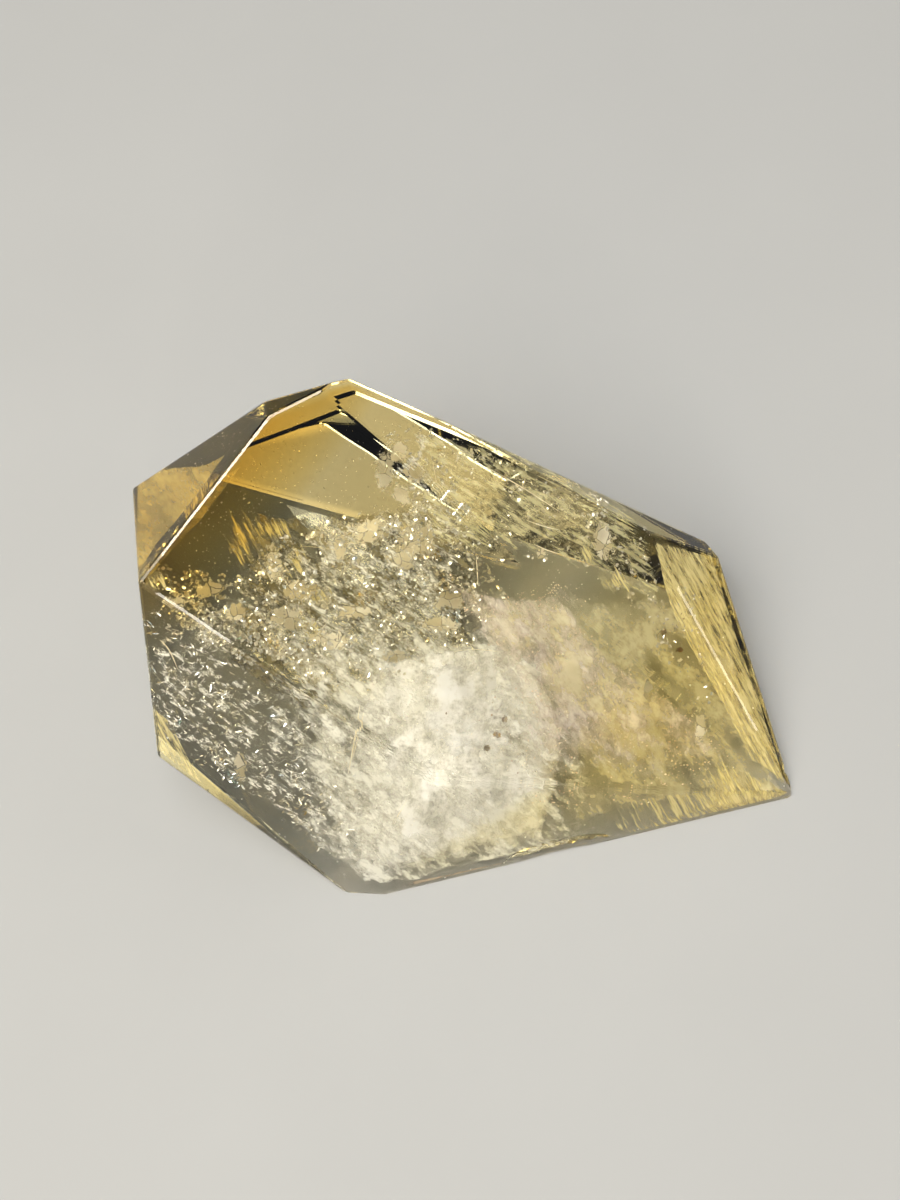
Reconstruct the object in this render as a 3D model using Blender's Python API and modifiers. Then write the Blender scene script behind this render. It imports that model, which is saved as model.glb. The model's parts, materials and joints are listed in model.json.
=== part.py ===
"""Citrine crystal: one clear yellow stone, cut to flat polished facets, that lies on its widest facet.

The stone is a convex block bounded by flat facets. It starts as a plain block that is larger than the
stone, and each facet slices away what lies outside it. The slices meet in the stone's corners. The tip
is the low sharp corner at the +X end, and every distance is measured from it, until the finished stone
is moved to stand on the middle of its own footprint.
"""
import math

import bmesh
import bpy
from mathutils import Matrix, Vector

MM = 0.001

# Rough block that the stone is sliced from
ROUGH_SIZE = 240 * MM

# Facets that meet in the tip: compass direction of the outward side in degrees, counted from +X
# towards +Y, and slope in degrees, where 0 faces straight up, 90 is a wall and 180 faces straight down
REST_FACET = (0.0, 180.0)
UPPER_FRONT = (-29.3, 38.4)
UPPER_BACK = (-3.8, 36.2)
LOWER_FRONT = (-49.3, 64.6)
END_FACET = (17.4, 44.3)
END_UNDERCUT = (61.1, 122.0)

# Facets that stand off from the tip: compass direction, slope and distance from the tip
LEFT_SHOULDER = (-176.7, 37.1, 81.3 * MM)
LEFT_FRONT = (-65.7, 57.8, 13.5 * MM)
TOP_SLIVER = (140.6, 28.0, 69.4 * MM)
BACK_SHOULDER = (64.0, 50.4, 16.5 * MM)
BACK_WALL = (94.3, 75.0, 27.4 * MM)
BACK_UNDERCUT = (98.0, 110.0, 20.2 * MM)
LEFT_UNDERCUT = (-113.8, 110.0, 51.7 * MM)
REAR_LEFT_WALL = (150.2, 60.0, 79.8 * MM)

# Walls that run exactly through a corner made by three other facets: compass direction and slope
LEFT_WALL = (-142.0, 73.5)
REAR_CORNER_WALL = (131.3, 63.0)

# Polished edges are broken by a very fine round
EDGE_ROUND = 0.35 * MM
EDGE_STEPS = 2
SAME_CORNER = 0.02 * MM

# Chips in the polished edges: where the edge is struck, counted from the tip, and how long, wide and
# deep the scoop is. Its long side follows the compass direction in degrees.
CHIPS = {
    "front_edge_flake": ((-25.3, -20.3, -1.0), (9.0, 2.6, 1.7), 41.0),
    "left_edge_nick": ((-74.6, -31.0, 29.2), (1.6, 1.0, 1.4), 60.0),
    "end_edge_nick": ((-2.6, 2.5, 1.5), (1.0, 0.5, 0.5), -45.0),
    "back_edge_nick": ((-48.0, 15.9, 35.6), (1.8, 0.8, 0.8), 16.0),
}
CHIP_SUBDIVISIONS = 3


def clear_scene():
    for existing in list(bpy.data.objects):
        bpy.data.objects.remove(existing)


def new_collection(name):
    collection = bpy.data.collections.new(name)
    bpy.context.scene.collection.children.link(collection)
    return collection


def facing(compass, slope):
    """Unit vector that points out of a facet."""
    level = math.sin(math.radians(slope))
    return Vector((
        level * math.cos(math.radians(compass)),
        level * math.sin(math.radians(compass)),
        math.cos(math.radians(slope)),
    ))


def corner_of(first, second, third):
    """Point where three facets meet."""
    facets = (first, second, third)
    directions = Matrix([facing(compass, slope) for compass, slope, _ in facets])
    return directions.inverted() @ Vector([distance for _, _, distance in facets])


def through(corner, facet):
    """Facet with the distance that takes it through the corner."""
    compass, slope = facet
    return (compass, slope, facing(compass, slope).dot(corner))


def stone_facets():
    """All the facets, each with its distance from the tip."""
    tip_facets = (REST_FACET, UPPER_FRONT, UPPER_BACK, LOWER_FRONT, END_FACET, END_UNDERCUT)
    facets = [(compass, slope, 0.0) for compass, slope in tip_facets]
    facets += [LEFT_SHOULDER, LEFT_FRONT, TOP_SLIVER, BACK_SHOULDER, REAR_LEFT_WALL]
    facets += [BACK_WALL, BACK_UNDERCUT, LEFT_UNDERCUT]
    ridge_end = corner_of(LEFT_SHOULDER, (*UPPER_FRONT, 0.0), LEFT_FRONT)
    rear_corner = corner_of(LEFT_SHOULDER, TOP_SLIVER, REAR_LEFT_WALL)
    facets += [through(ridge_end, LEFT_WALL), through(rear_corner, REAR_CORNER_WALL)]
    return facets


def slice_off(mesh, compass, slope, distance):
    """Cuts away what lies outside one facet and closes the cut with a flat face."""
    outward = facing(compass, slope)
    everything = mesh.verts[:] + mesh.edges[:] + mesh.faces[:]
    cut = bmesh.ops.bisect_plane(
        mesh,
        geom=everything,
        dist=SAME_CORNER,
        plane_co=outward * distance,
        plane_no=outward,
        clear_outer=True,
    )
    rim = [item for item in cut["geom_cut"] if isinstance(item, bmesh.types.BMEdge)]
    bmesh.ops.edgeloop_fill(mesh, edges=rim)


def footprint_middle(mesh):
    """Point of the resting plane under the middle of the stone."""
    across = [vertex.co.x for vertex in mesh.verts]
    along = [vertex.co.y for vertex in mesh.verts]
    return Vector(((min(across) + max(across)) / 2, (min(along) + max(along)) / 2, 0.0))


def build_stone(collection, material):
    """Slices the rough block to the stone and returns it with the point that became its origin."""
    mesh = bmesh.new()
    bmesh.ops.create_cube(mesh, size=ROUGH_SIZE)
    for compass, slope, distance in stone_facets():
        slice_off(mesh, compass, slope, distance)
    bmesh.ops.remove_doubles(mesh, verts=mesh.verts[:], dist=SAME_CORNER)
    bmesh.ops.recalc_face_normals(mesh, faces=mesh.faces[:])
    origin = footprint_middle(mesh)
    bmesh.ops.translate(mesh, verts=mesh.verts[:], vec=-origin)
    data = bpy.data.meshes.new("citrine_crystal")
    mesh.to_mesh(data)
    mesh.free()
    data.materials.append(material)
    stone = bpy.data.objects.new("citrine_crystal", data)
    collection.objects.link(stone)
    rounding = stone.modifiers.new("edge_round", "BEVEL")
    rounding.width = EDGE_ROUND
    rounding.segments = EDGE_STEPS
    rounding.limit_method = "ANGLE"
    rounding.angle_limit = math.radians(1.0)
    return stone, origin


def build_chip(name, place, size, compass, origin, collection):
    """Smooth pebble-shaped cutter that scoops a shell-like chip out of an edge."""
    bpy.ops.mesh.primitive_ico_sphere_add(subdivisions=CHIP_SUBDIVISIONS, radius=1.0)
    chip = bpy.context.active_object
    chip.name = name
    chip.data.transform(Matrix.Diagonal((*[length * MM for length in size], 1.0)))
    chip.location = Vector(place) * MM - origin
    chip.rotation_euler = (0.0, 0.0, math.radians(compass))
    chip.hide_render = True
    chip.display_type = "WIRE"
    for owner in list(chip.users_collection):
        owner.objects.unlink(chip)
    collection.objects.link(chip)
    return chip


def citrine_material():
    """Clear pale citrine with a high polish."""
    material = bpy.data.materials.new("clear_citrine")
    material.use_nodes = True
    shader = material.node_tree.nodes["Principled BSDF"]
    shader.inputs["Base Color"].default_value = (0.72, 0.58, 0.23, 1.0)
    shader.inputs["Roughness"].default_value = 0.05
    shader.inputs["Metallic"].default_value = 0.0
    shader.inputs["IOR"].default_value = 1.544
    shader.inputs["Transmission Weight"].default_value = 1.0
    return material


def main():
    clear_scene()
    parts = new_collection("citrine_crystal")
    cutters = new_collection("cutters")
    stone, origin = build_stone(parts, citrine_material())
    for name, (place, size, compass) in CHIPS.items():
        chip = build_chip(name, place, size, compass, origin, cutters)
        scoop = stone.modifiers.new(name, "BOOLEAN")
        scoop.operation = "DIFFERENCE"
        scoop.solver = "EXACT"
        scoop.object = chip


main()
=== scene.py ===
"""Citrine crystal on a pale floor: one clear yellow stone, cut to flat polished facets.

The outer skin is the CAD node itself, with a material of clear polished citrine. What shows inside the
stone is made here: sparkling fractures, foil-like flakes, a milky cloud, fine needles and dark specks.
"""
import json
import math
import random

import bmesh
import bpy
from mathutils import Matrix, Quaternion, Vector, noise

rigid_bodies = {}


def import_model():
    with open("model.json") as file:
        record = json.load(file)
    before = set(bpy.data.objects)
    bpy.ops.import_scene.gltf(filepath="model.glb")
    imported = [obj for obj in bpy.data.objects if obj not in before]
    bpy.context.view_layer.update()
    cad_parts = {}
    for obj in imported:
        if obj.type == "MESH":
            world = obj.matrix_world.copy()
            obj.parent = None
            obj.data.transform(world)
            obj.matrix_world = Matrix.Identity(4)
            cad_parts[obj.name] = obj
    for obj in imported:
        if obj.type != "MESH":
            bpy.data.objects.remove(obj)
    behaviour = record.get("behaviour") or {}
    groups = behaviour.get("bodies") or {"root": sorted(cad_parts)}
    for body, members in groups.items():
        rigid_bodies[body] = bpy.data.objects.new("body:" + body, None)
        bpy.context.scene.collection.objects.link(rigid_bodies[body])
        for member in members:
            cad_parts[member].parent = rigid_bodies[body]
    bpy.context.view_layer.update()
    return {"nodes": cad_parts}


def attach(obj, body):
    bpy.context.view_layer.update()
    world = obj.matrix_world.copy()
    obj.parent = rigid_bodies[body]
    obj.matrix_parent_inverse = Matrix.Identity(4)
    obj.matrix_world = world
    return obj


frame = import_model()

MM = 0.001
STONE = frame["nodes"]["citrine_crystal"]

# The photograph is 900 x 1200 pixels, and its camera sees the stone from above its front
PHOTO_WIDTH = 900
PHOTO_HEIGHT = 1200
FOCAL_PIXELS = 1400
SENSOR_WIDTH = 36.0
CAMERA_PLACE = Vector((56.7, -38.2, 187.7)) * MM
CAMERA_TARGET = Vector((-1.7, 12.5, 0.0)) * MM
CAMERA_ROLL = math.radians(-21.8)

QUARTZ_IOR = 1.544
SMALLEST_FACET = 4.0 * MM * MM
SAME_WAY = 0.9995
FLOOR_GAP = 0.15 * MM
ZONE_INSET = 0.5 * MM
ROUGH_BLOCK = 0.3
PIXELS_PER_MM = 7.4


# Small tools

def linear(hex_colour, alpha=1.0):
    """Linear colour of an sRGB hex value."""
    channels = []
    for start in (0, 2, 4):
        value = int(hex_colour[start:start + 2], 16) / 255
        if value <= 0.04045:
            channels.append(value / 12.92)
        else:
            channels.append(((value + 0.055) / 1.055) ** 2.4)
    return (*channels, alpha)


def add(tree, kind, inputs=None, **settings):
    """Adds a node. Each of its inputs takes a plain value or another node's output."""
    node = tree.nodes.new(kind)
    for name, value in settings.items():
        setattr(node, name, value)
    for key, value in (inputs or {}).items():
        if isinstance(value, bpy.types.NodeSocket):
            tree.links.new(value, node.inputs[key])
        else:
            node.inputs[key].default_value = value
    return node


def new_material(name):
    """Material with an empty tree and its output node."""
    material = bpy.data.materials.new(name)
    material.use_nodes = True
    material.node_tree.nodes.clear()
    output = add(material.node_tree, "ShaderNodeOutputMaterial")
    return material, material.node_tree, output


def finish_piece(piece):
    """Says that a piece belongs to the stone."""
    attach(piece, "root")


def mesh_piece(name, mesh, material):
    """Makes a piece of a bmesh and frees it."""
    data = bpy.data.meshes.new(name)
    mesh.to_mesh(data)
    mesh.free()
    data.materials.append(material)
    piece = bpy.data.objects.new(name, data)
    bpy.context.scene.collection.objects.link(piece)
    return piece


# Camera

def make_camera():
    data = bpy.data.cameras.new("photo_camera")
    data.sensor_width = SENSOR_WIDTH
    data.lens = SENSOR_WIDTH * FOCAL_PIXELS / PHOTO_HEIGHT
    data.clip_start = 0.01
    data.clip_end = 20.0
    camera = bpy.data.objects.new("photo_camera", data)
    bpy.context.scene.collection.objects.link(camera)
    level = (CAMERA_TARGET - CAMERA_PLACE).to_track_quat("-Z", "Y")
    camera.rotation_mode = "QUATERNION"
    camera.rotation_quaternion = level @ Quaternion((0.0, 0.0, 1.0), CAMERA_ROLL)
    camera.location = CAMERA_PLACE
    bpy.context.scene.camera = camera
    return camera


CAMERA = make_camera()
CAMERA_AXES = CAMERA.rotation_quaternion.to_matrix()
RIGHT = CAMERA_AXES.col[0]
UP = CAMERA_AXES.col[1]
FORWARD = -CAMERA_AXES.col[2]


# Where things are inside the stone

def facet_planes():
    """Outward direction and distance from the origin of each polished facet of the CAD node."""
    planes = []
    for face in STONE.data.polygons:
        if face.area < SMALLEST_FACET:
            continue
        if any(direction.dot(face.normal) > SAME_WAY for direction, _ in planes):
            continue
        planes.append((face.normal.copy(), face.normal.dot(face.center)))
    return planes


PLANES = facet_planes()


def seen_at(x, y, depth):
    """Point that the camera sees at a place of the photograph, at a depth in mm below the facet there.

    The sight line is bent where it enters the quartz, so a flaw lands where the photograph shows it.
    """
    across = (x - PHOTO_WIDTH / 2) * RIGHT
    upward = (PHOTO_HEIGHT / 2 - y) * UP
    sight = (across + upward + FOCAL_PIXELS * FORWARD).normalized()
    entry = -1.0
    facet = PLANES[0][0]
    for direction, distance in PLANES:
        towards = direction.dot(sight)
        if towards >= 0:
            continue
        reach = (distance - direction.dot(CAMERA_PLACE)) / towards
        if reach > entry:
            entry = reach
            facet = direction
    slope = -facet.dot(sight)
    bend = 1 / QUARTZ_IOR
    inward = math.sqrt(1 - bend * bend * (1 - slope * slope))
    inside = bend * sight + (bend * slope - inward) * facet
    return CAMERA_PLACE + sight * entry + inside * depth * MM


def keep_inside(point, margin):
    """Moves a point back until it is at least a margin in mm behind every facet."""
    for _ in range(4):
        for direction, distance in PLANES:
            over = direction.dot(point) - distance + margin * MM
            if over > 0:
                point = point - direction * over
    return point


def blend_row(row, share):
    """Point at a share of the way along a row of points, on a smooth curve through them."""
    place = share * (len(row) - 1)
    start = min(int(place), len(row) - 2)
    part = place - start
    before = row[max(start - 1, 0)]
    first = row[start]
    second = row[start + 1]
    after = row[min(start + 2, len(row) - 1)]
    blended = []
    for a, b, c, d in zip(before, first, second, after):
        bend = (c - a) * part
        bend += (2 * a - 5 * b + 4 * c - d) * part ** 2
        bend += (3 * b - a - 3 * c + d) * part ** 3
        blended.append(b + bend / 2)
    return blended


def veil_mesh(rows, margin, ripple, seed, fade=(0.2, 0.2, 0.2, 0.2), steps=(48, 24)):
    """Curved sheet inside the stone. Its rows are places of the photograph with depths in mm.

    Fade holds how far in the left, right, top and bottom borders fade out, as shares of the sheet. Without
    it the sheet fades from its middle to a round border.
    """
    mesh = bmesh.new()
    fading = mesh.verts.layers.float.new("fade")
    flat = mesh.loops.layers.uv.new("flat")
    across, down = steps
    grid = []
    spots = {}
    for i in range(across + 1):
        column = [blend_row(row, i / across) for row in rows]
        for j in range(down + 1):
            x, y, depth = blend_row(column, j / down)
            spot = Vector((x / 45, y / 45, seed * 7.3))
            depth += ripple * noise.noise(spot) + ripple * 0.4 * noise.noise(spot * 3.1)
            vertex = mesh.verts.new(keep_inside(seen_at(x, y, depth), margin))
            shares = (i / across, 1 - i / across, j / down, 1 - j / down)
            strength = 1.0
            for share, width in zip(shares, fade or ()):
                strength = min(strength, share / max(width, 0.001))
            if not fade:
                strength = max(0.0, 1 - math.hypot(2 * i / across - 1, 2 * j / down - 1))
            vertex[fading] = strength * strength * (3 - 2 * strength)
            spots[vertex] = Vector((x / PIXELS_PER_MM, y / PIXELS_PER_MM)) * MM + Vector((seed, seed)) * 0.1
            grid.append(vertex)
    for i in range(across):
        for j in range(down):
            a = i * (down + 1) + j
            corners = (grid[a], grid[a + 1], grid[a + down + 2], grid[a + down + 1])
            face = mesh.faces.new(corners)
            face.smooth = True
            for loop in face.loops:
                loop[flat].uv = spots[loop.vert]
    bmesh.ops.recalc_face_normals(mesh, faces=mesh.faces[:])
    return mesh


def join_meshes(parts):
    """One bmesh of several, which are freed."""
    whole = bmesh.new()
    for part in parts:
        data = bpy.data.meshes.new("part")
        part.to_mesh(data)
        part.free()
        whole.from_mesh(data)
        bpy.data.meshes.remove(data)
    return whole


def needle_mesh(start, end, width, bow=0.0, pieces=6):
    """Thin three-sided needle between two places of the photograph, tapered to its ends."""
    mesh = bmesh.new()
    spine = []
    for step in range(pieces + 1):
        share = step / pieces
        x, y, depth = (a + (b - a) * share for a, b in zip(start, end))
        y += bow * math.sin(math.pi * share)
        spine.append(keep_inside(seen_at(x, y, depth), 0.6))
    rings = []
    for step, place in enumerate(spine):
        ahead = spine[min(step + 1, pieces)] - spine[max(step - 1, 0)]
        side = ahead.cross(UP).normalized()
        other = ahead.cross(side).normalized()
        reach = width * MM * (0.15 + 0.85 * math.sin(math.pi * step / pieces)) / 2
        ring = []
        for corner in range(3):
            way = 2 * math.pi * corner / 3
            ring.append(mesh.verts.new(place + reach * (math.cos(way) * side + math.sin(way) * other)))
        rings.append(ring)
    for first, second in zip(rings, rings[1:]):
        for corner in range(3):
            after = (corner + 1) % 3
            mesh.faces.new((first[corner], second[corner], second[after], first[after]))
    mesh.faces.new(rings[0])
    mesh.faces.new(rings[-1])
    bmesh.ops.recalc_face_normals(mesh, faces=mesh.faces[:])
    return mesh


def zone_mesh(cuts):
    """Part of the stone, just inside its facets, bounded by more cuts that face out of it."""
    mesh = bmesh.new()
    bmesh.ops.create_cube(mesh, size=ROUGH_BLOCK)
    bounds = [(direction, distance - ZONE_INSET) for direction, distance in PLANES]
    for direction, distance in bounds + cuts:
        cut = bmesh.ops.bisect_plane(
            mesh,
            geom=mesh.verts[:] + mesh.edges[:] + mesh.faces[:],
            plane_co=direction * distance,
            plane_no=direction,
            clear_outer=True,
        )
        rim = [item for item in cut["geom_cut"] if isinstance(item, bmesh.types.BMEdge)]
        if rim:
            bmesh.ops.edgeloop_fill(mesh, edges=rim)
    bmesh.ops.recalc_face_normals(mesh, faces=mesh.faces[:])
    return mesh


# Flakes that are scattered over the veils

def flake_shapes(name, corners, count, seed, slimness):
    """Collection of small sharp-cornered flakes about 1 m across, which the scatter scales to size."""
    chooser = random.Random(seed)
    shapes = bpy.data.collections.new(name)
    for number in range(count):
        mesh = bmesh.new()
        middle = mesh.verts.new((0.0, 0.0, chooser.uniform(-0.06, 0.06)))
        rim = []
        for corner in range(corners):
            turn = 2 * math.pi * (corner + chooser.uniform(-0.3, 0.3)) / corners
            reach = chooser.uniform(0.25, 0.55)
            lift = chooser.uniform(-0.05, 0.05)
            rim.append(mesh.verts.new((reach * math.cos(turn), slimness * reach * math.sin(turn), lift)))
        for corner in range(corners):
            mesh.faces.new((middle, rim[corner], rim[(corner + 1) % corners]))
        data = bpy.data.meshes.new(f"{name}_{number}")
        mesh.to_mesh(data)
        mesh.free()
        shapes.objects.link(bpy.data.objects.new(f"{name}_{number}", data))
    return shapes


def scatter_tree():
    """Geometry nodes that strew flakes over a sheet, in patches, and tilt each one a little."""
    tree = bpy.data.node_groups.new("strewn_flakes", "GeometryNodeTree")
    sockets = (
        ("Sheet", "NodeSocketGeometry"),
        ("Flakes", "NodeSocketCollection"),
        ("Flakes per square metre", "NodeSocketFloat"),
        ("Seed", "NodeSocketInt"),
        ("Patch size", "NodeSocketFloat"),
        ("Bare share", "NodeSocketFloat"),
        ("Smallest", "NodeSocketFloat"),
        ("Largest", "NodeSocketFloat"),
        ("Tilt", "NodeSocketFloat"),
        ("Turn", "NodeSocketFloat"),
        ("Spread", "NodeSocketFloat"),
        ("Material", "NodeSocketMaterial"),
    )
    for name, kind in sockets:
        tree.interface.new_socket(name, in_out="INPUT", socket_type=kind)
    tree.interface.new_socket("Flakes", in_out="OUTPUT", socket_type="NodeSocketGeometry")
    given = add(tree, "NodeGroupInput").outputs
    place = add(tree, "GeometryNodeInputPosition").outputs[0]
    fineness = add(tree, "ShaderNodeMath", {0: 1.0, 1: given["Patch size"]}, operation="DIVIDE").outputs[0]
    patches = add(tree, "ShaderNodeTexNoise", {
        "Vector": place,
        "Scale": fineness,
        "Detail": 4.0,
        "Roughness": 0.6,
    })
    full = add(tree, "ShaderNodeMath", {0: given["Bare share"], 1: 0.12}, operation="ADD").outputs[0]
    mask = add(tree, "ShaderNodeMapRange", {
        "Value": patches.outputs[0],
        "From Min": given["Bare share"],
        "From Max": full,
    }, interpolation_type="SMOOTHSTEP").outputs[0]
    density = add(tree, "ShaderNodeMath", {
        0: mask,
        1: given["Flakes per square metre"],
    }, operation="MULTIPLY").outputs[0]
    points = add(tree, "GeometryNodeDistributePointsOnFaces", {
        "Mesh": given["Sheet"],
        "Density": density,
        "Seed": given["Seed"],
    }, distribute_method="RANDOM")
    lowest = add(tree, "ShaderNodeMath", {0: given["Spread"], 1: -1.0}, operation="MULTIPLY").outputs[0]
    height = add(tree, "FunctionNodeRandomValue", {
        2: lowest,
        3: given["Spread"],
        8: given["Seed"],
    }, data_type="FLOAT").outputs[1]
    shift = add(tree, "ShaderNodeVectorMath", {
        0: points.outputs["Normal"],
        "Scale": height,
    }, operation="SCALE").outputs[0]
    spread = add(tree, "GeometryNodeSetPosition", {
        "Geometry": points.outputs["Points"],
        "Offset": shift,
    }).outputs[0]
    shapes = add(tree, "GeometryNodeCollectionInfo", {
        "Collection": given["Flakes"],
        "Separate Children": True,
    }).outputs[0]
    evenness = add(tree, "FunctionNodeRandomValue", {
        2: 0.0,
        3: 1.0,
        8: given["Seed"],
    }, data_type="FLOAT").outputs[1]
    rareness = add(tree, "ShaderNodeMath", {0: evenness, 1: 2.5}, operation="POWER").outputs[0]
    size = add(tree, "ShaderNodeMapRange", {
        "Value": rareness,
        "To Min": given["Smallest"],
        "To Max": given["Largest"],
    }).outputs[0]
    placed = add(tree, "GeometryNodeInstanceOnPoints", {
        "Points": spread,
        "Instance": shapes,
        "Pick Instance": True,
        "Rotation": points.outputs["Rotation"],
        "Scale": size,
    }).outputs[0]
    least = add(tree, "ShaderNodeMath", {0: given["Tilt"], 1: -1.0}, operation="MULTIPLY").outputs[0]
    back = add(tree, "ShaderNodeMath", {0: given["Turn"], 1: -1.0}, operation="MULTIPLY").outputs[0]
    lowest_turn = add(tree, "ShaderNodeCombineXYZ", {0: least, 1: least, 2: back}).outputs[0]
    highest_turn = add(tree, "ShaderNodeCombineXYZ", {
        0: given["Tilt"],
        1: given["Tilt"],
        2: given["Turn"],
    }).outputs[0]
    turn = add(tree, "FunctionNodeRandomValue", {
        0: lowest_turn,
        1: highest_turn,
        8: given["Seed"],
    }, data_type="FLOAT_VECTOR").outputs[0]
    turned = add(tree, "GeometryNodeRotateInstances", {
        "Instances": placed,
        "Rotation": turn,
    }).outputs[0]
    plain = add(tree, "GeometryNodeRealizeInstances", {"Geometry": turned}).outputs[0]
    finished = add(tree, "GeometryNodeSetMaterial", {
        "Geometry": plain,
        "Material": given["Material"],
    }).outputs[0]
    add(tree, "NodeGroupOutput", {"Flakes": finished})
    return tree


def strew(name, sheets, tree, flakes, material, amount, seed, patch, bare, sizes, tilt, spread, turn=180):
    """Strews flakes over sheets and returns them as one plain mesh piece.

    Amount is the count on a square mm of full patch. Lengths are in mm and angles in degrees.
    """
    carrier_mesh = join_meshes(sheets)
    carrier = mesh_piece(f"{name}_sheet", carrier_mesh, material)
    strewing = carrier.modifiers.new("strew", "NODES")
    strewing.node_group = tree
    values = {
        "Flakes": flakes,
        "Flakes per square metre": amount / (MM * MM),
        "Seed": seed,
        "Patch size": patch * MM,
        "Bare share": bare,
        "Smallest": sizes[0] * MM,
        "Largest": sizes[1] * MM,
        "Tilt": math.radians(tilt),
        "Turn": math.radians(turn),
        "Spread": spread * MM,
        "Material": material,
    }
    for item in tree.interface.items_tree:
        if item.in_out == "INPUT" and item.name in values:
            strewing[item.identifier] = values[item.name]
    depsgraph = bpy.context.evaluated_depsgraph_get()
    made = bpy.data.meshes.new_from_object(carrier.evaluated_get(depsgraph), depsgraph=depsgraph)
    made.name = name
    piece = bpy.data.objects.new(name, made)
    bpy.context.scene.collection.objects.link(piece)
    bpy.data.objects.remove(carrier)
    finish_piece(piece)
    return piece


# Materials

def polished_citrine():
    """Citrine, a yellow quartz, lapped and polished to a glassy face.

    It is clear, bends light by 1.544 and takes blue out over its depth, so thin edges are pale and deep
    parts golden. The polish leaves a very slight waviness, and dust and tiny pits show as bright dots.
    """
    material, tree, output = new_material("polished_citrine")
    place = add(tree, "ShaderNodeTexCoord").outputs["Object"]
    waviness = add(tree, "ShaderNodeTexNoise", {
        "Vector": place,
        "Scale": 90.0,
        "Detail": 1.0,
    }).outputs[0]
    pits = add(tree, "ShaderNodeTexVoronoi", {
        "Vector": place,
        "Scale": 420.0,
    }).outputs["Distance"]
    pit_mask = add(tree, "ShaderNodeMapRange", {
        "Value": pits,
        "From Min": 0.05,
        "From Max": 0.09,
        "To Min": 0.45,
        "To Max": 0.0,
    }).outputs[0]
    wavy = add(tree, "ShaderNodeBump", {
        "Strength": 0.05,
        "Distance": 0.0006,
        "Height": waviness,
    }).outputs[0]
    shader = add(tree, "ShaderNodeBsdfPrincipled", {
        "Base Color": linear("FFFDF6"),
        "Roughness": pit_mask,
        "IOR": QUARTZ_IOR,
        "Transmission Weight": 1.0,
        "Normal": wavy,
    })
    depth = add(tree, "ShaderNodeVolumeAbsorption", {
        "Color": linear("FBEFA1"),
        "Density": 14.0,
    })
    tree.links.new(shader.outputs[0], output.inputs["Surface"])
    tree.links.new(depth.outputs[0], output.inputs["Volume"])
    return material


def silvery_fracture():
    """Air film in a fresh crack in quartz, which mirrors nearly all light and looks like foil.

    Where the film is thinnest it shows faint rainbow tints.
    """
    material, tree, output = new_material("silvery_fracture")
    place = add(tree, "ShaderNodeTexCoord").outputs["Object"]
    tint = add(tree, "ShaderNodeTexNoise", {
        "Vector": place,
        "Scale": 230.0,
        "Detail": 2.0,
    }).outputs[0]
    ramp = add(tree, "ShaderNodeValToRGB", {"Fac": tint})
    stops = ramp.color_ramp.elements
    stops[0].position = 0.28
    stops[0].color = linear("E3C36E")
    stops[1].position = 0.36
    stops[1].color = linear("F6F0DC")
    for position, colour in ((0.62, "FFFFFF"), (0.70, "CFE0F2"), (0.76, "A9D6CC")):
        stops.new(position).color = linear(colour)
    shader = add(tree, "ShaderNodeBsdfPrincipled", {
        "Base Color": ramp.outputs[0],
        "Metallic": 0.7,
        "Roughness": 0.16,
    })
    tree.links.new(shader.outputs[0], output.inputs["Surface"])
    return material


def fine_inclusion(name, dark, light, roughness=0.5):
    """Tiny fluid bubbles healed into quartz, which scatter light evenly in a pale tone."""
    material, tree, output = new_material(name)
    place = add(tree, "ShaderNodeTexCoord").outputs["Object"]
    tint = add(tree, "ShaderNodeTexNoise", {
        "Vector": place,
        "Scale": 140.0,
        "Detail": 3.0,
    }).outputs[0]
    ramp = add(tree, "ShaderNodeValToRGB", {"Fac": tint})
    ramp.color_ramp.elements[0].position = 0.35
    ramp.color_ramp.elements[0].color = linear(dark)
    ramp.color_ramp.elements[1].position = 0.62
    ramp.color_ramp.elements[1].color = linear(light)
    shader = add(tree, "ShaderNodeBsdfPrincipled", {
        "Base Color": ramp.outputs[0],
        "Roughness": roughness,
    })
    tree.links.new(shader.outputs[0], output.inputs["Surface"])
    return material


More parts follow.
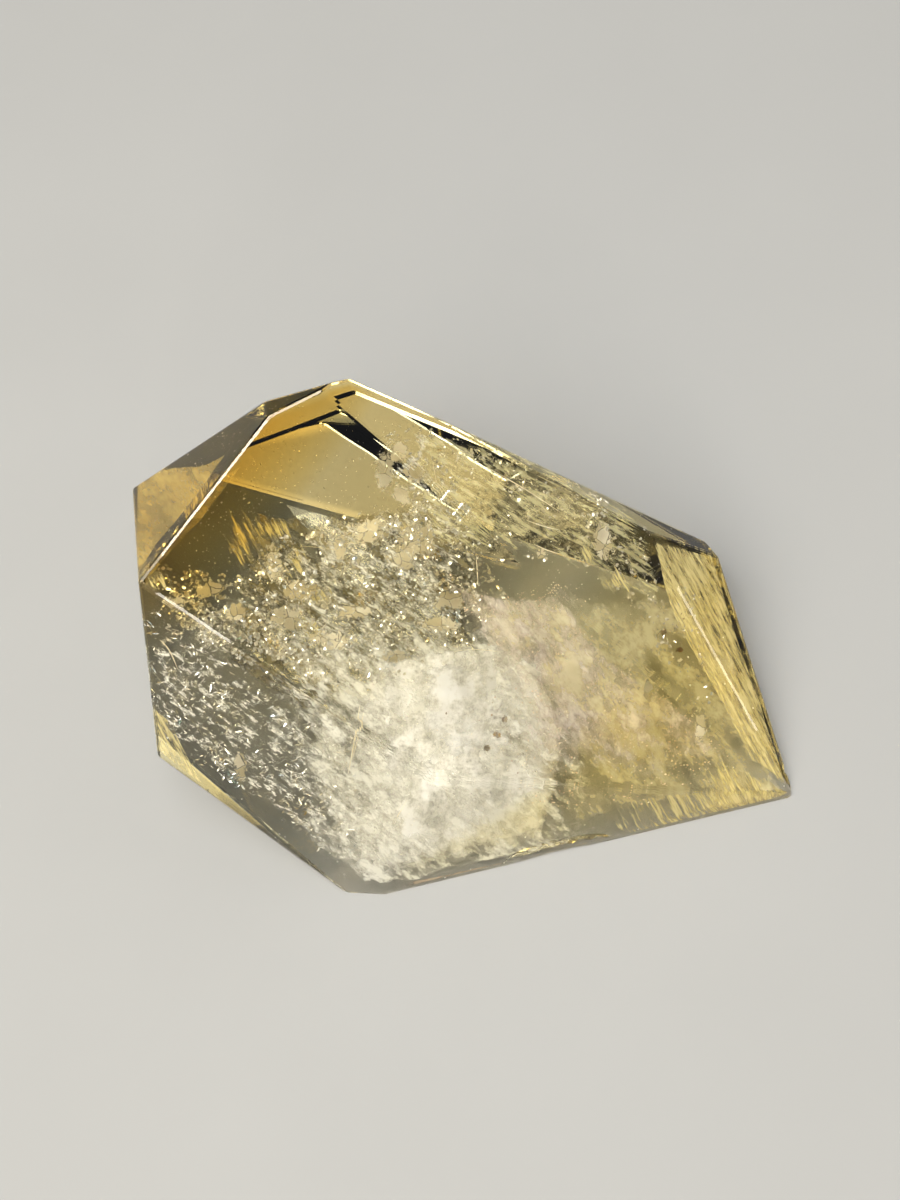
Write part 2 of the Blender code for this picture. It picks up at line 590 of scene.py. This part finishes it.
def healed_veil(name, dark, light, patch, bare, strength, stretch, way, soft):
    """Sheet in the quartz, cloudy in some places and clear in others. Most are healed cracks, sheets of
    bubbles too fine to see; the dark grey-brown sheets are painted shade, and the golden sheets at the lower
    edge, the tip and the left wedge are painted light.

    Patch is the size of a cloudy place in mm, bare is the level below which the sheet is clear, and
    strength is how much the cloudy places hide. Stretch and way draw the cloudy places out into streaks,
    and soft is how slowly they fade to clear.
    """
    material, tree, output = new_material(name)
    flat = add(tree, "ShaderNodeUVMap", uv_map="flat").outputs[0]
    drawn = add(tree, "ShaderNodeMapping", {
        "Vector": flat,
        "Rotation": (0.0, 0.0, math.radians(way)),
        "Scale": (stretch, 1 / stretch, 1.0),
    }, vector_type="TEXTURE").outputs[0]
    clouds = add(tree, "ShaderNodeTexNoise", {
        "Vector": drawn,
        "Scale": 1 / (patch * MM),
        "Detail": 5.0 if soft > 0.25 else 6.0,
        "Roughness": 0.7,
    }, noise_dimensions="2D").outputs[0]
    fade = add(tree, "ShaderNodeAttribute", attribute_name="fade").outputs["Fac"]
    worn = add(tree, "ShaderNodeMapRange", {"Value": fade, "To Min": -0.35, "To Max": 0.0}).outputs[0]
    ragged = add(tree, "ShaderNodeMath", {0: clouds, 1: worn}, operation="ADD").outputs[0]
    see = add(tree, "ShaderNodeMapRange", {
        "Value": ragged,
        "From Min": bare,
        "From Max": bare + soft,
        "To Max": strength,
    }, interpolation_type="SMOOTHSTEP").outputs[0]
    ramp = add(tree, "ShaderNodeValToRGB", {"Fac": clouds})
    ramp.color_ramp.elements[0].position = 0.35
    ramp.color_ramp.elements[0].color = linear(dark)
    ramp.color_ramp.elements[1].position = 0.6
    ramp.color_ramp.elements[1].color = linear(light)
    shader = add(tree, "ShaderNodeBsdfPrincipled", {
        "Base Color": ramp.outputs[0],
        "Roughness": 0.45,
        "Alpha": see,
    })
    tree.links.new(shader.outputs[0], output.inputs["Surface"])
    return material


def cracked_foil(name, dark, light, plate, bare):
    """Air-filled crack broken into foil-like plates with thin dark gaps between them.

    Plate is the size of one plate in mm. Below the level bare there is no plate.
    """
    material, tree, output = new_material(name)
    flat = add(tree, "ShaderNodeUVMap", uv_map="flat").outputs[0]
    bent = add(tree, "ShaderNodeTexNoise", {
        "Vector": flat,
        "Scale": 1 / (plate * MM),
        "Detail": 3.0,
    }).outputs["Color"]
    pushed = add(tree, "ShaderNodeVectorMath", {
        0: bent,
        "Scale": 0.7 * plate * MM,
    }, operation="SCALE").outputs[0]
    crooked = add(tree, "ShaderNodeVectorMath", {0: flat, 1: pushed}, operation="ADD").outputs[0]
    gaps = add(tree, "ShaderNodeTexVoronoi", {
        "Vector": crooked,
        "Scale": 1 / (plate * MM),
    }, feature="DISTANCE_TO_EDGE").outputs[0]
    plates = add(tree, "ShaderNodeTexVoronoi", {
        "Vector": crooked,
        "Scale": 1 / (plate * MM),
    }).outputs["Color"]
    fade = add(tree, "ShaderNodeAttribute", attribute_name="fade").outputs["Fac"]
    clouds = add(tree, "ShaderNodeTexNoise", {
        "Vector": crooked,
        "Scale": 1.4 / (plate * MM),
        "Detail": 7.0,
        "Roughness": 0.75,
    }).outputs[0]
    worn = add(tree, "ShaderNodeMapRange", {"Value": fade, "To Min": -0.22, "To Max": 0.16}).outputs[0]
    ragged = add(tree, "ShaderNodeMath", {0: clouds, 1: worn}, operation="ADD").outputs[0]
    there = add(tree, "ShaderNodeMapRange", {
        "Value": ragged,
        "From Min": bare,
        "From Max": bare + 0.02,
    }).outputs[0]
    whole = add(tree, "ShaderNodeMapRange", {"Value": gaps, "From Min": 0.015, "From Max": 0.035}).outputs[0]
    solid = add(tree, "ShaderNodeMath", {0: there, 1: whole}, operation="MULTIPLY").outputs[0]
    see = add(tree, "ShaderNodeMath", {0: solid, 1: 0.85}, operation="MULTIPLY").outputs[0]
    tone = add(tree, "ShaderNodeSeparateColor", {"Color": plates}).outputs[0]
    ramp = add(tree, "ShaderNodeValToRGB", {"Fac": tone})
    ramp.color_ramp.elements[0].color = linear(dark)
    ramp.color_ramp.elements[1].color = linear(light)
    bumps = add(tree, "ShaderNodeBump", {"Strength": 0.6, "Distance": 0.0005, "Height": clouds}).outputs[0]
    shader = add(tree, "ShaderNodeBsdfPrincipled", {
        "Base Color": ramp.outputs[0],
        "Metallic": 0.3,
        "Roughness": 0.28,
        "Normal": bumps,
        "Alpha": see,
    })
    tree.links.new(shader.outputs[0], output.inputs["Surface"])
    return material


def deeper_zone(name, colour, density):
    """Zone of deeper colour: a growth zone in citrine at the tip and the shoulder, and a dark layer of
    painted shade at the left foot. It bends no light of its own and only tints what passes.
    """
    material, tree, output = new_material(name)
    shader = add(tree, "ShaderNodeBsdfPrincipled", {
        "Base Color": linear("FFFFFF"),
        "Roughness": 0.0,
        "IOR": 1.0,
        "Specular IOR Level": 0.0,
        "Transmission Weight": 1.0,
    })
    depth = add(tree, "ShaderNodeVolumeAbsorption", {
        "Color": linear(colour),
        "Density": density,
    })
    tree.links.new(shader.outputs[0], output.inputs["Surface"])
    tree.links.new(depth.outputs[0], output.inputs["Volume"])
    return material


def pale_floor():
    """Matt pale board, faintly uneven in tone."""
    material, tree, output = new_material("matt_pale_board")
    place = add(tree, "ShaderNodeTexCoord").outputs["Object"]
    tone = add(tree, "ShaderNodeTexNoise", {"Vector": place, "Scale": 30.0, "Detail": 3.0}).outputs[0]
    ramp = add(tree, "ShaderNodeValToRGB", {"Fac": tone})
    ramp.color_ramp.elements[0].color = linear("848482")
    ramp.color_ramp.elements[1].color = linear("888886")
    shader = add(tree, "ShaderNodeBsdfPrincipled", {
        "Base Color": ramp.outputs[0],
        "Roughness": 0.85,
    })
    tree.links.new(shader.outputs[0], output.inputs["Surface"])
    return material


# Flaws inside the stone. Places are x and y in the photograph and depth in mm below the facet.

# Sparkling crack that crosses the stone from the left ridge to the middle
BAND_ROWS = (
    ((148, 566, 5), (235, 578, 14), (330, 556, 19), (400, 512, 17), (445, 492, 15)),
    ((165, 600, 5), (250, 620, 12), (345, 610, 18), (420, 580, 20), (485, 555, 20)),
    ((190, 640, 4), (270, 660, 9), (350, 665, 15), (430, 655, 18), (510, 620, 20)),
)
BAND_LOWER_ROWS = (
    ((170, 590, 9), (250, 600, 18), (340, 590, 24), (420, 560, 24)),
    ((210, 640, 8), (290, 665, 14), (370, 660, 20), (460, 640, 24)),
)
LEFT_RIDGE_ROWS = (
    ((143, 572, 2.5), (190, 596, 3), (250, 636, 3.5), (310, 676, 4)),
    ((165, 572, 4), (215, 600, 5), (275, 640, 6), (335, 682, 7)),
)
# Upright crack between the golden window and the middle
REAR_ROWS = (
    ((384, 438, 9), (397, 478, 11), (404, 520, 14)),
    ((412, 432, 10), (430, 480, 13), (440, 540, 17)),
    ((440, 430, 12), (462, 490, 16), (470, 560, 20)),
)
# Sparkling band along the back shoulder
SHOULDER_ROWS = (
    ((425, 415, 6), (510, 445, 7), (590, 490, 6), (650, 535, 4)),
    ((440, 470, 12), (520, 490, 11), (590, 530, 9), (650, 560, 6)),
    ((450, 560, 18), (530, 560, 16), (590, 570, 12), (640, 590, 8)),
)
# Cracks behind the left front facet
FRONT_ROWS = (
    ((143, 594, 3), (150, 660, 4), (152, 730, 5)),
    ((215, 640, 4), (225, 700, 6), (220, 775, 6)),
    ((290, 695, 5), (300, 760, 7), (290, 825, 6)),
    ((375, 745, 6), (370, 820, 7), (360, 885, 5)),
)
FRONT_DEEP_ROWS = (
    ((150, 620, 9), (160, 690, 10), (170, 740, 8)),
    ((230, 670, 11), (240, 730, 12), (250, 790, 9)),
    ((350, 740, 13), (360, 800, 12), (370, 870, 8)),
)
# Milky cloud under the upper front facet
CLOUD_ROWS = (
    ((360, 660, 10), (440, 646, 8), (508, 642, 10)),
    ((330, 720, 10), (450, 700, 6), (553, 696, 10)),
    ((330, 790, 8), (460, 760, 5), (562, 768, 9)),
    ((345, 880, 3), (440, 882, 3), (540, 852, 4)),
)
CLOUD_HEART_ROWS = (
    ((420, 662, 6), (450, 658, 5), (485, 664, 6)),
    ((412, 700, 6), (455, 700, 4), (520, 705, 6)),
    ((420, 780, 5), (470, 770, 4), (535, 775, 6)),
)
# Pinkish haze between the cloud and the tip
HAZE_ROWS = (
    ((440, 576, 14), (500, 594, 14), (560, 586, 14)),
    ((470, 640, 13), (540, 640, 12), (612, 658, 12)),
    ((510, 710, 10), (610, 715, 10), (695, 715, 9)),
    ((520, 810, 5), (640, 795, 5), (745, 780, 4)),
)
# Bright glints near the end facet
END_ROWS = (
    ((600, 545, 4), (655, 560, 4), (700, 600, 3)),
    ((615, 600, 7), (665, 630, 6), (712, 670, 4)),
    ((640, 640, 8), (690, 690, 6), (745, 740, 3)),
)
# Fine dust through the whole stone
DUST_ROWS = (
    ((180, 470, 12), (320, 410, 14), (480, 450, 12), (640, 545, 7)),
    ((170, 600, 14), (340, 600, 20), (520, 620, 18), (700, 640, 6)),
    ((230, 780, 6), (400, 800, 10), (560, 780, 9), (740, 780, 3)),
)

# More sheets for the veils
MILKY_HALO_ROWS = (
    ((230, 630, 6), (350, 615, 10), (460, 600, 12), (580, 610, 12)),
    ((260, 700, 6), (360, 700, 8), (470, 700, 7), (620, 710, 8)),
    ((270, 780, 5), (380, 780, 6), (480, 790, 5), (640, 780, 6)),
    ((320, 890, 2), (400, 892, 2), (500, 870, 2), (640, 836, 3)),
)
FRONT_MILK_ROWS = (
    ((215, 660, 3), (300, 692, 5), (400, 740, 6)),
    ((225, 730, 3), (310, 770, 5), (400, 800, 5)),
    ((250, 800, 2), (320, 850, 3), (385, 888, 3)),
)
# Dark wisps of painted shade behind the foils, from the dark left part to the middle, standing in for the
# shaded floor under the stone seen through it
PAINTED_SHADE_ROWS = (
    ((238, 508, 15), (330, 505, 17), (415, 500, 16), (480, 520, 14)),
    ((225, 580, 15), (320, 590, 18), (410, 590, 19), (490, 585, 18)),
    ((215, 650, 9), (310, 668, 14), (400, 670, 17), (480, 650, 17)),
    ((260, 690, 6), (330, 715, 9), (400, 720, 12), (455, 700, 13)),
)
# Whitish wisps and foils that cross the middle
MIDDLE_ROWS = (
    ((265, 540, 10), (340, 520, 13), (410, 505, 13), (470, 520, 12)),
    ((250, 605, 9), (335, 600, 13), (410, 595, 15), (485, 590, 14)),
    ((270, 665, 6), (340, 680, 10), (410, 680, 12), (470, 660, 12)),
)
# Pinkish sliver along the lower front edge
EDGE_SLIVER_ROWS = (
    ((395, 884, 1), (470, 872, 1), (540, 856, 1), (622, 838, 1)),
    ((395, 893, 0.8), (470, 885, 0.8), (545, 870, 0.8), (622, 852, 0.8)),
)
BODY_ROWS = (
    ((450, 572, 9), (560, 580, 7), (660, 575, 5), (700, 560, 3)),
    ((470, 650, 8), (580, 660, 7), (690, 665, 6), (740, 680, 3)),
    ((540, 740, 6), (620, 740, 6), (720, 745, 4), (765, 760, 2)),
    ((540, 835, 4), (630, 810, 4), (720, 795, 3), (785, 792, 1)),
)
UPPER_RIGHT_ROWS = (
    ((405, 425, 6), (490, 445, 6), (580, 490, 5), (655, 540, 3)),
    ((410, 500, 9), (500, 505, 8), (590, 540, 6), (665, 575, 4)),
    ((430, 575, 10), (520, 570, 9), (600, 590, 7), (680, 620, 4)),
)
END_FACET_ROWS = (
    ((655, 540, 2.5), (685, 545, 2.5), (712, 552, 1.5)),
    ((672, 610, 3), (705, 620, 3), (735, 632, 1.5)),
    ((715, 690, 3), (740, 700, 2), (765, 715, 1.2)),
    ((755, 765, 1.5), (772, 775, 1.5), (790, 790, 1.0)),
)
# Pale golden sheets along the lower edge: painted light, for the bright yellow band that light through the
# facets makes there
LOWER_EDGE_GLOW_ROWS = (
    ((560, 818, 2), (640, 798, 2), (720, 790, 2), (785, 793, 1)),
    ((560, 855, 1.5), (640, 838, 1.5), (720, 817, 1.5), (790, 799, 1)),
)
SHOULDER_GOLD_ROWS = (
    ((136, 476, 2), (170, 467, 2), (205, 464, 2), (228, 452, 2)),
    ((136, 520, 2), (155, 520, 2), (175, 510, 2), (198, 495, 2)),
    ((138, 572, 1), (144, 566, 1), (154, 548, 1.5), (168, 530, 1.5)),
)
# Pale golden sheets at the tip: painted light, like those along the lower edge
TIP_GLOW_ROWS = (
    ((715, 735, 2), (750, 765, 2), (790, 792, 1)),
    ((690, 800, 2), (750, 797, 2), (791, 797, 1)),
    ((690, 824, 1.2), (750, 810, 1.2), (792, 799, 1)),
)
# Pale golden sheets in the left wedge: painted light, for the golden glow that light reflected inside the
# stone makes there
LEFT_WEDGE_GLOW_ROWS = (
    ((149, 702, 1.2), (152, 725, 1.2), (156, 748, 1.2)),
    ((170, 722, 1.2), (185, 752, 1.2), (205, 790, 1.2)),
)
# Foil-like plates: middle, depth, half width and half height in pixels
PALE_FOILS = (
    (341, 545, 13, 12, 20), (383, 530, 15, 24, 16), (402, 556, 14, 26, 20), (428, 548, 17, 14, 20),
    (272, 565, 12, 16, 30), (300, 590, 12, 30, 16), (355, 562, 16, 12, 14), (235, 612, 7, 20, 12),
    (175, 603, 3, 20, 10), (440, 625, 12, 30, 12), (352, 612, 12, 30, 12), (240, 765, 4, 10, 24),
    (700, 726, 3, 10, 22), (648, 690, 4, 7, 22), (541, 552, 6, 8, 8), (385, 470, 11, 14, 36),
    (602, 540, 4, 16, 30), (398, 452, 7, 18, 15), (414, 474, 8, 17, 17), (402, 496, 10, 14, 18),
    (365, 532, 13, 30, 22), (415, 538, 13, 30, 24), (330, 640, 9, 34, 16),
    (285, 618, 9, 26, 22), (450, 600, 12, 26, 14), (395, 660, 9, 26, 14), (210, 590, 7, 26, 14),
)
GOLDEN_PETALS = (
    (243, 541, 13, 28, 44), (272, 530, 14, 42, 18), (297, 563, 14, 22, 30), (318, 597, 13, 32, 18),
    (308, 628, 11, 36, 20), (158, 582, 2, 28, 18), (588, 556, 5, 18, 22), (620, 580, 5, 30, 26),
)
DARK_SPECKS = (
    (664, 632, 5, 4, 4), (680, 650, 4, 5, 4), (505, 719, 2, 5, 5), (497, 735, 2, 6, 4), (487, 748, 2, 5, 4),
)
# Needles: first place, last place, thickness in mm and bow in pixels
NEEDLES = (
    ((480, 464, 6), (560, 512, 6), 0.16, -2), ((526, 520, 6), (560, 530, 6), 0.14, 1),
    ((534, 544, 6), (560, 554, 6), 0.14, 1), ((360, 705, 6), (348, 774, 5), 0.30, 3),
    ((364, 712, 6), (352, 760, 5), 0.18, 2), ((388, 830, 4), (407, 800, 5), 0.12, 1),
    ((160, 640, 3), (178, 670, 4), 0.18, -5), ((440, 655, 8), (500, 652, 8), 0.14, -4),
    ((430, 448, 9), (443, 512, 12), 0.10, 2), ((476, 552, 14), (478, 584, 14), 0.12, 1),
    ((300, 546, 12), (372, 560, 14), 0.10, -3), ((310, 640, 10), (330, 618, 10), 0.12, 2),
)

# Growth zones of another colour: the way each cut faces and its distance from the origin in mm
TIP_ZONE_CUT = ((-0.5, 0.0, 0.866), -4.0)
# The dark zone is a thin layer of painted shade under the left end, standing in for the shaded floor beneath
# the stone, and thins out to nothing past the middle
PAINTED_SHADE_ZONE_CUTS = (((0.0, 0.0, 1.0), 1.7), ((0.1, 0.0, 1.0), 0.89), ((1.0, 0.0, 0.0), 3.0))
SHOULDER_ZONE_DEPTH = 9.0

# Sheets of each veil: rows, how many lie on top of each other, gap, margin and ripple in mm, seed, and how
# far in the left, right, top and bottom borders fade out
VEIL_SHEETS = {
    "milky_veils": (
        (CLOUD_ROWS, 3, 2.2, 0.7, 2.6, 20, (0.35, 0.08, 0.1, 0.15)),
        (CLOUD_HEART_ROWS, 1, 1.2, 0.8, 1.6, 27, (0.4, 0.3, 0.3, 0.4)),
    ),
    "milky_halo": (
        (MILKY_HALO_ROWS, 2, 3.5, 0.6, 3.0, 30, (0.25, 0.25, 0.2, 0.02)),
        (FRONT_MILK_ROWS, 1, 2.0, 0.8, 2.0, 34, (0.7, 0.1, 0.15, 0.05)),
    ),
    "rose_veils": (
        (HAZE_ROWS, 2, -4.0, 0.8, 3.0, 36, (0.25, 0.15, 0.1, 0.3)),
    ),
    "pale_yellow_veils": (
        (BODY_ROWS, 1, 4.0, 0.7, 2.0, 40, (0.25, 0.03, 0.2, 0.05)),
    ),
    "green_gold_veils": (
        (UPPER_RIGHT_ROWS, 1, 4.0, 0.7, 2.5, 44, (0.1, 0.1, 0.1, 0.3)),
    ),
    # Golden striations under the end facet and golden petals, and painted light at the lower edge, the tip
    # and the left wedge
    "golden_veils": (
        (END_FACET_ROWS, 2, 1.5, 0.6, 0.8, 47, (0.02, 0.02, 0.05, 0.02)),
        (LOWER_EDGE_GLOW_ROWS, 1, 0.8, 0.4, 0.5, 50, (0.5, 0.01, 0.1, 0.01)),
        (TIP_GLOW_ROWS, 2, 1.0, 0.4, 0.3, 58, (0.3, 0.01, 0.3, 0.01)),
        (LEFT_WEDGE_GLOW_ROWS, 1, 1.0, 0.6, 0.3, 56, (0.05, 0.05, 0.05, 0.05)),
    ),
    "amber_veils": (
        (SHOULDER_GOLD_ROWS, 2, 2.0, 0.7, 0.6, 53, (0.05, 0.1, 0.04, 0.1)),
    ),
    "brown_edge_veil": (
        (EDGE_SLIVER_ROWS, 1, 1.0, 0.4, 0.4, 39, (0.15, 0.05, 0.05, 0.02)),
    ),
    # Dark sheets of painted shade
    "smoky_veils": (
        (PAINTED_SHADE_ROWS, 1, 3.0, 0.7, 3.0, 71, (0.15, 0.15, 0.1, 0.25)),
    ),
    "wispy_veils": (
        (BAND_ROWS, 1, 3.0, 1.2, 5.0, 60, (0.25, 0.25, 0.25, 0.25)),
        (REAR_ROWS, 1, 3.0, 1.2, 3.0, 63, (0.05, 0.2, 0.1, 0.3)),
        (MIDDLE_ROWS, 2, 2.5, 0.9, 4.0, 74, (0.2, 0.2, 0.1, 0.2)),
        (FRONT_ROWS, 1, 2.0, 1.0, 3.0, 65, (0.3, 0.1, 0.05, 0.1)),
    ),
}
# Material of each veil: dark and light colour, patch in mm, bare, strength, stretch, way, soft
VEIL_MATERIALS = {
    "milky_veils": ("milky_veil", "FBF8EE", "FFFFFF", 4.5, 0.26, 0.84, 1.0, 0, 0.35),
    "milky_halo": ("faint_milky_veil", "F4EEDD", "FFFFFA", 3.0, 0.36, 0.72, 1.4, 40, 0.3),
    "rose_veils": ("rose_veil", "F6E0D8", "FFF6F4", 3.5, 0.28, 0.66, 1.3, 60, 0.5),
    "pale_yellow_veils": ("pale_yellow_veil", "F0E0A6", "FCF2C8", 5.0, 0.26, 0.46, 1.3, 50, 0.4),
    "green_gold_veils": ("green_gold_veil", "CFC27A", "FFFACC", 1.8, 0.42, 0.42, 2.2, 32, 0.2),
    # Pale golden colours, partly painted light
    "golden_veils": ("golden_flaw_and_glow_veil", "F0D67C", "FFF2B4", 1.5, 0.32, 0.62, 3.0, 62, 0.3),
    "amber_veils": ("amber_veil", "ECCB62", "F8DE84", 8.0, 0.2, 0.5, 1.3, 50, 0.5),
    "brown_edge_veil": ("brown_veil", "A98B6C", "DCC6AC", 2.5, 0.25, 0.6, 1.6, -15, 0.3),
    # Dark grey-brown colours of painted shade
    "smoky_veils": ("painted_shade_veil", "4E4730", "857B56", 3.2, 0.36, 0.8, 1.5, 40, 0.22),
    "wispy_veils": ("wispy_veil", "F4EEE0", "FFFFFC", 1.4, 0.50, 0.9, 1.6, 34, 0.18),
}
FOIL_SEED = 80


def strewn_flaws():
    """Everything in the stone that is made of many small flakes."""
    tree = scatter_tree()
    shards = flake_shapes("shard", corners=6, count=6, seed=3, slimness=0.7)
    splinters = flake_shapes("splinter", corners=5, count=5, seed=5, slimness=0.28)
    grains = flake_shapes("grain", corners=5, count=4, seed=8, slimness=0.9)
    silver = silvery_fracture()
    milk = fine_inclusion("milky_inclusion", "F2EAD6", "FFFFFC")
    rose = fine_inclusion("rose_inclusion", "E8CDB8", "F7EDDC")
    rust = fine_inclusion("rust_speck", "6E4A28", "9A7040")

    strew("sparkling_fracture", [
        veil_mesh(BAND_ROWS, 1.6, 6.0, 1),
        veil_mesh(BAND_LOWER_ROWS, 1.6, 5.0, 6),
        veil_mesh(LEFT_RIDGE_ROWS, 1.2, 1.0, 7),
        veil_mesh(REAR_ROWS, 1.6, 4.0, 2),
        veil_mesh(MIDDLE_ROWS, 1.4, 5.0, 14),
    ], tree, shards, silver, amount=14.0, seed=11, patch=2.6, bare=0.46,
        sizes=(0.12, 0.9), tilt=45, spread=1.2)
    strew("shoulder_glints", [
        veil_mesh(SHOULDER_ROWS, 1.6, 4.0, 8),
        veil_mesh(END_ROWS, 1.4, 3.0, 9),
    ], tree, shards, silver, amount=6.0, seed=61, patch=1.8, bare=0.50,
        sizes=(0.12, 0.9), tilt=45, spread=1.4)
    strew("front_fracture", [
        veil_mesh(FRONT_ROWS, 1.2, 3.0, 3),
        veil_mesh(FRONT_DEEP_ROWS, 1.6, 4.0, 10),
    ], tree, splinters, silver, amount=12.0, seed=21, patch=2.2, bare=0.50,
        sizes=(0.12, 1.3), tilt=50, spread=1.2, turn=70)
    strew("milky_cloud", [
        veil_mesh(CLOUD_ROWS, 2.6, 4.0, 4),
        veil_mesh(CLOUD_HEART_ROWS, 2.6, 2.0, 11),
    ], tree, grains, milk, amount=6.0, seed=31, patch=1.6, bare=0.50,
        sizes=(0.08, 0.3), tilt=60, spread=1.6)
    strew("rose_haze", [
        veil_mesh(HAZE_ROWS, 2.2, 3.0, 5),
    ], tree, grains, rose, amount=5.0, seed=41, patch=4.0, bare=0.42,
        sizes=(0.12, 0.45), tilt=60, spread=2.0)
    strew("dust", [
        veil_mesh(DUST_ROWS, 2.0, 6.0, 12),
    ], tree, grains, milk, amount=0.5, seed=51, patch=20.0, bare=0.30,
        sizes=(0.1, 0.3), tilt=80, spread=1.8)
    strew("rust_specks", [
        veil_mesh(CLOUD_HEART_ROWS, 2.6, 2.0, 13),
    ], tree, grains, rust, amount=0.25, seed=71, patch=6.0, bare=0.40,
        sizes=(0.2, 0.5), tilt=60, spread=1.5)
    for shapes in (shards, splinters, grains):
        for shape in list(shapes.objects):
            bpy.data.objects.remove(shape)
        bpy.data.collections.remove(shapes)


def deeper(rows, more):
    """The same rows, lower in the stone by some mm."""
    return tuple(tuple((x, y, depth + more) for x, y, depth in row) for row in rows)


def layered(rows, count, gap, margin, ripple, seed, fade):
    """Sheets on top of each other, each rippled in its own way."""
    return [veil_mesh(deeper(rows, gap * n), margin, ripple, seed + n, fade) for n in range(count)]


def veils():
    """Cloudy sheets that fade out at their borders."""
    for name, entries in VEIL_SHEETS.items():
        sheets = [sheet for entry in entries for sheet in layered(*entry)]
        if name == "golden_veils":
            sheets += [foil_sheet(*place, FOIL_SEED + number) for number, place in enumerate(GOLDEN_PETALS)]
        material = healed_veil(*VEIL_MATERIALS[name])
        finish_piece(mesh_piece(name, join_meshes(sheets), material))


def foil_sheet(x, y, depth, wide, high, seed):
    """Small sheet round one place of the photograph, a little tilted."""
    tilt = random.Random(seed).uniform(-2.0, 2.0)
    rows = []
    for down in (-1, 0, 1):
        rows.append(tuple((x + wide * side, y + high * down, depth + tilt * side) for side in (-1, 0, 1)))
    return veil_mesh(rows, margin=0.7, ripple=1.5, seed=seed, fade=None, steps=(12, 12))


def foils_and_needles():
    """Foil-like pieces of cracks, and thin needles."""
    groups = (
        ("pale_foils", PALE_FOILS, cracked_foil("pale_foil", "C4B792", "F2ECDA", 1.8, 0.455)),
        ("dark_specks", DARK_SPECKS, cracked_foil("brown_speck", "6A4E2A", "9A7A44", 0.8, 0.40)),
    )
    for name, places, material in groups:
        sheets = [foil_sheet(*place, FOIL_SEED + number) for number, place in enumerate(places)]
        finish_piece(mesh_piece(name, join_meshes(sheets), material))
    meshes = [needle_mesh(*needle) for needle in NEEDLES]
    needle = fine_inclusion("pale_needle", "E9DFC4", "FFFBEE", 0.25)
    finish_piece(mesh_piece("fine_needles", join_meshes(meshes), needle))


def colour_zones():
    """Deeper yellow at the tip, amber under the left shoulder and a grey layer of painted shade at the left
    foot.
    """
    way, distance = TIP_ZONE_CUT
    tip = zone_mesh([(Vector(way).normalized(), distance * MM)])
    finish_piece(mesh_piece("tip_colour_zone", tip, deeper_zone("deep_yellow_zone", "FAEEA0", 60.0)))
    # Thin grey layer of painted shade under the left foot
    shade_layer = zone_mesh([(Vector(way).normalized(), distance * MM) for way, distance in PAINTED_SHADE_ZONE_CUTS])
    finish_piece(mesh_piece("smoky_foot_zone", shade_layer, deeper_zone("painted_shade_zone", "8F9BB0", 265.0)))
    # The shoulder is the upper facet that faces most to the left
    shoulder, reach = max(PLANES, key=lambda plane: -plane[0].x * (plane[0].z > 0.7))
    amber = zone_mesh([(-shoulder, SHOULDER_ZONE_DEPTH * MM - reach)])
    finish_piece(mesh_piece("shoulder_colour_zone", amber, deeper_zone("amber_zone", "FAE67A", 105.0)))


def make_flaws():
    strewn_flaws()
    veils()
    foils_and_needles()
    colour_zones()


# Surroundings

# Soft boxes: name, compass direction and height in degrees, distance and size in m, power in W, colour
SOFT_BOXES = (
    ("front_softbox", -83, 28, 0.6, (0.52, 0.46), 1.05, "FFE8B8"),
    ("front_left_softbox", -135, 28, 0.6, (0.52, 0.46), 0.30, "FFEECC"),
    ("high_key_softbox", -115, 62, 0.8, (0.8, 0.5), 8.5, "FFFCF6"),
    ("top_softbox", -41, 84, 0.9, (0.5, 0.5), 9.0, "FFFEFC"),
    ("back_softbox", 85, 54, 0.8, (0.7, 0.35), 0.9, "FFFBF4"),
    ("left_edge_strip", -60, 31, 0.5, (0.07, 0.07), 0.16, "FFFFFF"),
    ("front_edge_strip", -36, 12, 0.5, (0.06, 0.12), 0.04, "FFFFFF"),
    ("end_edge_strip", 32, 18, 0.5, (0.22, 0.05), 0.22, "FFFFFF"),
)
SKY_STRENGTH = 0.22
FLOOR_HALF_WIDTH = 1.5
MOST_BOUNCES = 10
MOST_CLEAR_LAYERS = 20


def make_floor():
    mesh = bmesh.new()
    bmesh.ops.create_grid(mesh, x_segments=2, y_segments=2, size=FLOOR_HALF_WIDTH)
    bmesh.ops.translate(mesh, verts=mesh.verts[:], vec=(0.0, 0.0, -FLOOR_GAP))
    floor = mesh_piece("floor", mesh, pale_floor())


def make_light(name, compass, height, distance, size, power, colour):
    """Soft box that looks at the stone from a compass direction and a height in degrees."""
    data = bpy.data.lights.new(name, "AREA")
    data.shape = "RECTANGLE"
    data.size, data.size_y = size
    data.energy = power
    data.color = linear(colour)[:3]
    light = bpy.data.objects.new(name, data)
    bpy.context.scene.collection.objects.link(light)
    level = math.cos(math.radians(height))
    away = Vector((
        level * math.cos(math.radians(compass)),
        level * math.sin(math.radians(compass)),
        math.sin(math.radians(height)),
    ))
    light.location = away * distance
    light.rotation_mode = "QUATERNION"
    light.rotation_quaternion = (-away).to_track_quat("-Z", "Y")


def make_world():
    world = bpy.data.worlds.new("soft_studio")
    world.use_nodes = True
    world.node_tree.nodes.clear()
    output = add(world.node_tree, "ShaderNodeOutputWorld")
    sky = add(world.node_tree, "ShaderNodeBackground", {
        "Color": linear("F4F5F8"),
        "Strength": SKY_STRENGTH,
    })
    world.node_tree.links.new(sky.outputs[0], output.inputs[0])
    bpy.context.scene.world = world


def main():
    STONE.data.materials.clear()
    STONE.data.materials.append(polished_citrine())
    make_flaws()
    make_floor()
    make_world()
    for box in SOFT_BOXES:
        make_light(*box)
    scene = bpy.context.scene
    scene.view_settings.view_transform = "Standard"
    scene.cycles.max_bounces = MOST_BOUNCES
    scene.cycles.transmission_bounces = MOST_BOUNCES
    scene.cycles.transparent_max_bounces = MOST_CLEAR_LAYERS


main()
